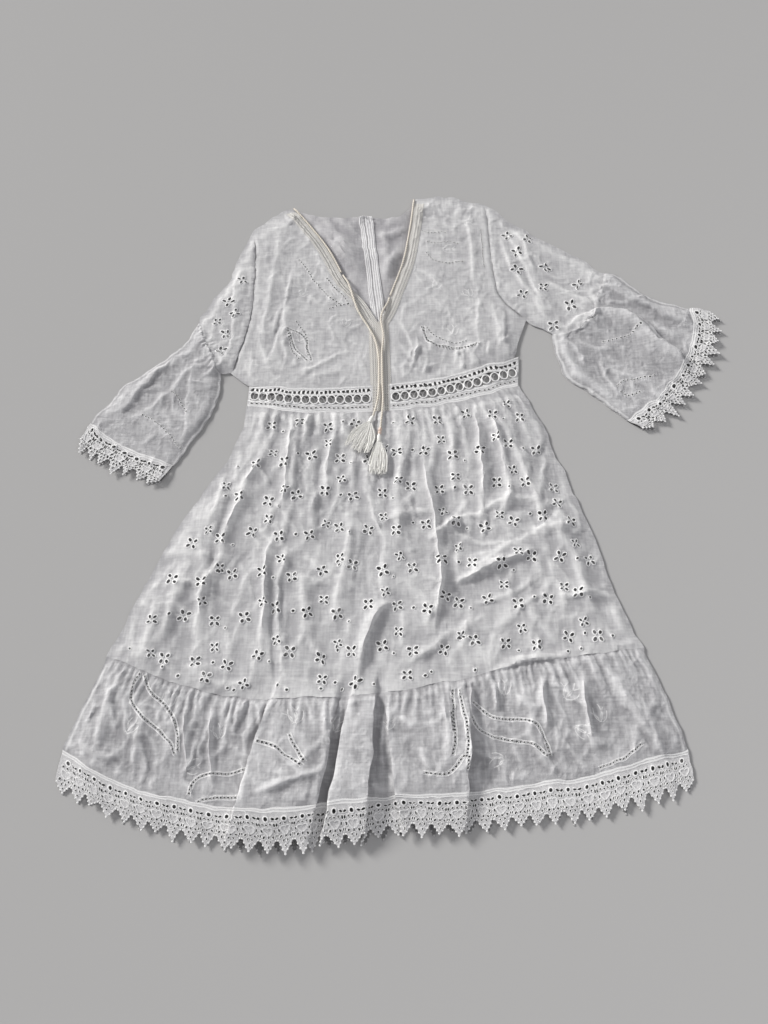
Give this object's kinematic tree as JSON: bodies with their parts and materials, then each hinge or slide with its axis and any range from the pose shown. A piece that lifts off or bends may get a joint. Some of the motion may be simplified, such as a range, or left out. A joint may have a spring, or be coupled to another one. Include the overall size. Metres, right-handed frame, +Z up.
{
  "type": "summer dress",
  "caption": "Short dress laid flat: V neck with tasselled ties, flared sleeves, lace waistband, gathered skirt with cutwork flowers, ruffle and pointed lace hem.",
  "frame": {"origin": "middle of the footprint, on the surface the dress lies on", "axes": "+Y from the hem to the shoulders, +Z up from the surface through the front of the dress, +X to the right in the picture"},
  "size_m": [0.9327, 0.9789, 0.0199],
  "materials": {
    "cotton": "matte woven cotton",
    "voile": "thin matte voile",
    "lace": "matte corded lace",
    "trimming": "matte embroidered edging",
    "cording": "matte twisted cord",
    "bead": "satin"
  },
  "bodies": {
    "root": {"back_bodice_left": "cotton", "back_bodice_right": "cotton", "back_skirt": "cotton", "back_sleeve_left": "cotton", "back_sleeve_right": "cotton", "opening_strip_left": "cotton", "opening_strip_right": "cotton", "front_bodice_left": "cotton", "front_bodice_right": "cotton", "front_skirt": "cotton", "front_sleeve_left": "cotton", "front_sleeve_right": "cotton", "back_ruffle": "voile", "back_flare_left": "voile", "back_flare_right": "voile", "front_ruffle": "voile", "front_flare_left": "voile", "front_flare_right": "voile", "back_waistband": "lace", "back_hem_lace": "lace", "back_cuff_lace_left": "lace", "back_cuff_lace_right": "lace", "front_lace_left": "lace", "front_lace_right": "lace", "front_waistband_left": "lace", "front_waistband_centre": "lace", "front_waistband_right": "lace", "front_hem_lace": "lace", "front_cuff_lace_left": "lace", "front_cuff_lace_right": "lace", "neck_trim_left": "trimming", "neck_trim_right": "trimming", "neck_cord_left": "cording", "neck_cord_right": "cording", "tie_left": "cording", "tie_right": "cording", "tassel_left": "cording", "tassel_right": "cording", "bead_1": "bead", "bead_2": "bead"}
  },
  "joints": []
}
